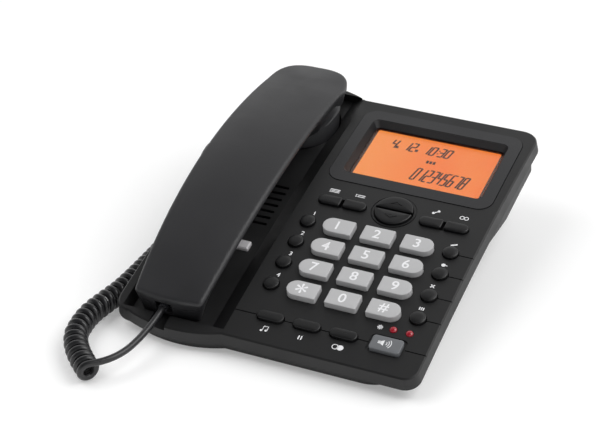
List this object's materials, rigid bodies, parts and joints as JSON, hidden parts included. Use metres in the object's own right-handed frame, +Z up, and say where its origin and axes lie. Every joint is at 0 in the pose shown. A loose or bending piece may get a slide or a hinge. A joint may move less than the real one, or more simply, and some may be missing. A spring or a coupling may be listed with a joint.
{
  "type": "corded desk telephone",
  "caption": "Corded desk telephone: wedge housing with keypad and tilted display, handset in a side trough, curly cord, and a stand at the back.",
  "frame": {"origin": "on the table under the middle of the telephone without its cord", "axes": "+X to the user's right, +Y away from the user, +Z up"},
  "size_m": [0.1882, 0.2517, 0.0649],
  "materials": {
    "housing": "fine matte",
    "bezel": "satin",
    "window": "clear",
    "module": "lit display",
    "board": "lacquered",
    "membrane": "matte",
    "capsule": "satin",
    "key_light": "matte",
    "key_dark": "matte",
    "key_grey": "matte",
    "jack": "gloss",
    "plug": "clear dark",
    "cord": "gloss jacket",
    "feet": "matte",
    "screws": "zinc plated",
    "lamp": "clear red"
  },
  "bodies": {
    "base": {"upper_housing": "housing", "lower_housing": "housing", "desk_stand": "housing", "display_bezel": "bezel", "display_window": "window", "display_module": "module", "main_board": "board", "keypad_membrane": "membrane", "loudspeaker": "capsule", "hook_switch": "jack", "base_handset_jack": "jack", "line_jack": "jack", "base_plug": "plug", "handset_lead": "cord", "curly_cord": "cord", "base_lead": "cord", "front_feet": "feet", "rear_feet": "feet", "housing_screws": "screws", "indicator_leds": "lamp"},
    "handset": {"handset_top_shell": "housing", "handset_bottom_shell": "housing", "earpiece_capsule": "capsule", "microphone_capsule": "capsule", "handset_jack": "jack", "handset_plug": "plug", "handset_screws": "screws"},
    "hook": {"hook_plunger": "key_light"},
    "key_1_body": {"key_1": "key_light"},
    "key_2_body": {"key_2": "key_light"},
    "key_3_body": {"key_3": "key_light"},
    "key_4_body": {"key_4": "key_light"},
    "key_5_body": {"key_5": "key_light"},
    "key_6_body": {"key_6": "key_light"},
    "key_7_body": {"key_7": "key_light"},
    "key_8_body": {"key_8": "key_light"},
    "key_9_body": {"key_9": "key_light"},
    "key_star_body": {"key_star": "key_light"},
    "key_0_body": {"key_0": "key_light"},
    "key_hash_body": {"key_hash": "key_light"},
    "memory_key_1_body": {"memory_key_1": "key_dark"},
    "memory_key_2_body": {"memory_key_2": "key_dark"},
    "memory_key_3_body": {"memory_key_3": "key_dark"},
    "memory_key_4_body": {"memory_key_4": "key_dark"},
    "function_key_1_body": {"function_key_1": "key_dark"},
    "function_key_2_body": {"function_key_2": "key_dark"},
    "function_key_3_body": {"function_key_3": "key_dark"},
    "function_key_4_body": {"function_key_4": "key_dark"},
    "wide_key_left_1_body": {"wide_key_left_1": "key_dark"},
    "wide_key_left_2_body": {"wide_key_left_2": "key_dark"},
    "wide_key_right_1_body": {"wide_key_right_1": "key_dark"},
    "wide_key_right_2_body": {"wide_key_right_2": "key_dark"},
    "rocker_up_body": {"rocker_up": "key_dark"},
    "rocker_down_body": {"rocker_down": "key_dark"},
    "oval_key_1_body": {"oval_key_1": "key_dark"},
    "oval_key_2_body": {"oval_key_2": "key_dark"},
    "oval_key_3_body": {"oval_key_3": "key_dark"},
    "speaker_key_body": {"speaker_key": "key_grey"}
  },
  "joints": [
    {"name": "handset_lift", "type": "slide", "parent": "base", "child": "handset", "axis": [0, -0.1945, 0.9809], "range_m": [0, 0.03]},
    {"name": "hook_rise", "type": "slide", "parent": "base", "child": "hook", "axis": [0, -0.2233, 0.9747], "range_m": [0, 0.004]},
    {"name": "key_1_press", "type": "slide", "parent": "base", "child": "key_1_body", "axis": [0, 0.225, -0.9744], "range_m": [0, 0.0012], "stiffness_N_per_m": 400},
    {"name": "key_2_press", "type": "slide", "parent": "base", "child": "key_2_body", "axis": [0, 0.225, -0.9744], "range_m": [0, 0.0012], "stiffness_N_per_m": 400},
    {"name": "key_3_press", "type": "slide", "parent": "base", "child": "key_3_body", "axis": [0, 0.225, -0.9744], "range_m": [0, 0.0012], "stiffness_N_per_m": 400},
    {"name": "key_4_press", "type": "slide", "parent": "base", "child": "key_4_body", "axis": [0, 0.225, -0.9744], "range_m": [0, 0.0012], "stiffness_N_per_m": 400},
    {"name": "key_5_press", "type": "slide", "parent": "base", "child": "key_5_body", "axis": [0, 0.225, -0.9744], "range_m": [0, 0.0012], "stiffness_N_per_m": 400},
    {"name": "key_6_press", "type": "slide", "parent": "base", "child": "key_6_body", "axis": [0, 0.225, -0.9744], "range_m": [0, 0.0012], "stiffness_N_per_m": 400},
    {"name": "key_7_press", "type": "slide", "parent": "base", "child": "key_7_body", "axis": [0, 0.225, -0.9744], "range_m": [0, 0.0012], "stiffness_N_per_m": 400},
    {"name": "key_8_press", "type": "slide", "parent": "base", "child": "key_8_body", "axis": [0, 0.225, -0.9744], "range_m": [0, 0.0012], "stiffness_N_per_m": 400},
    {"name": "key_9_press", "type": "slide", "parent": "base", "child": "key_9_body", "axis": [0, 0.225, -0.9744], "range_m": [0, 0.0012], "stiffness_N_per_m": 400},
    {"name": "key_star_press", "type": "slide", "parent": "base", "child": "key_star_body", "axis": [0, 0.225, -0.9744], "range_m": [0, 0.0012], "stiffness_N_per_m": 400},
    {"name": "key_0_press", "type": "slide", "parent": "base", "child": "key_0_body", "axis": [0, 0.225, -0.9744], "range_m": [0, 0.0012], "stiffness_N_per_m": 400},
    {"name": "key_hash_press", "type": "slide", "parent": "base", "child": "key_hash_body", "axis": [0, 0.225, -0.9744], "range_m": [0, 0.0012], "stiffness_N_per_m": 400},
    {"name": "memory_key_1_press", "type": "slide", "parent": "base", "child": "memory_key_1_body", "axis": [0, 0.225, -0.9744], "range_m": [0, 0.0012], "stiffness_N_per_m": 400},
    {"name": "memory_key_2_press", "type": "slide", "parent": "base", "child": "memory_key_2_body", "axis": [0, 0.225, -0.9744], "range_m": [0, 0.0012], "stiffness_N_per_m": 400},
    {"name": "memory_key_3_press", "type": "slide", "parent": "base", "child": "memory_key_3_body", "axis": [0, 0.225, -0.9744], "range_m": [0, 0.0012], "stiffness_N_per_m": 400},
    {"name": "memory_key_4_press", "type": "slide", "parent": "base", "child": "memory_key_4_body", "axis": [0, 0.225, -0.9744], "range_m": [0, 0.0012], "stiffness_N_per_m": 400},
    {"name": "function_key_1_press", "type": "slide", "parent": "base", "child": "function_key_1_body", "axis": [0, 0.225, -0.9744], "range_m": [0, 0.0012], "stiffness_N_per_m": 400},
    {"name": "function_key_2_press", "type": "slide", "parent": "base", "child": "function_key_2_body", "axis": [0, 0.225, -0.9744], "range_m": [0, 0.0012], "stiffness_N_per_m": 400},
    {"name": "function_key_3_press", "type": "slide", "parent": "base", "child": "function_key_3_body", "axis": [0, 0.225, -0.9744], "range_m": [0, 0.0012], "stiffness_N_per_m": 400},
    {"name": "function_key_4_press", "type": "slide", "parent": "base", "child": "function_key_4_body", "axis": [0, 0.225, -0.9744], "range_m": [0, 0.0012], "stiffness_N_per_m": 400},
    {"name": "wide_key_left_1_press", "type": "slide", "parent": "base", "child": "wide_key_left_1_body", "axis": [0, 0.225, -0.9744], "range_m": [0, 0.0012], "stiffness_N_per_m": 400},
    {"name": "wide_key_left_2_press", "type": "slide", "parent": "base", "child": "wide_key_left_2_body", "axis": [0, 0.225, -0.9744], "range_m": [0, 0.0012], "stiffness_N_per_m": 400},
    {"name": "wide_key_right_1_press", "type": "slide", "parent": "base", "child": "wide_key_right_1_body", "axis": [0, 0.225, -0.9744], "range_m": [0, 0.0012], "stiffness_N_per_m": 400},
    {"name": "wide_key_right_2_press", "type": "slide", "parent": "base", "child": "wide_key_right_2_body", "axis": [0, 0.225, -0.9744], "range_m": [0, 0.0012], "stiffness_N_per_m": 400},
    {"name": "rocker_up_press", "type": "slide", "parent": "base", "child": "rocker_up_body", "axis": [0, 0.225, -0.9744], "range_m": [0, 0.0012], "stiffness_N_per_m": 400},
    {"name": "rocker_down_press", "type": "slide", "parent": "base", "child": "rocker_down_body", "axis": [0, 0.225, -0.9744], "range_m": [0, 0.0012], "stiffness_N_per_m": 400},
    {"name": "oval_key_1_press", "type": "slide", "parent": "base", "child": "oval_key_1_body", "axis": [0, 0.225, -0.9744], "range_m": [0, 0.0012], "stiffness_N_per_m": 400},
    {"name": "oval_key_2_press", "type": "slide", "parent": "base", "child": "oval_key_2_body", "axis": [0, 0.225, -0.9744], "range_m": [0, 0.0012], "stiffness_N_per_m": 400},
    {"name": "oval_key_3_press", "type": "slide", "parent": "base", "child": "oval_key_3_body", "axis": [0, 0.225, -0.9744], "range_m": [0, 0.0012], "stiffness_N_per_m": 400},
    {"name": "speaker_key_press", "type": "slide", "parent": "base", "child": "speaker_key_body", "axis": [0, 0.225, -0.9744], "range_m": [0, 0.0012], "stiffness_N_per_m": 400}
  ],
  "couplings": [
    {"joint": "hook_rise", "follows": "handset_lift", "ratio": 0.13333}
  ]
}
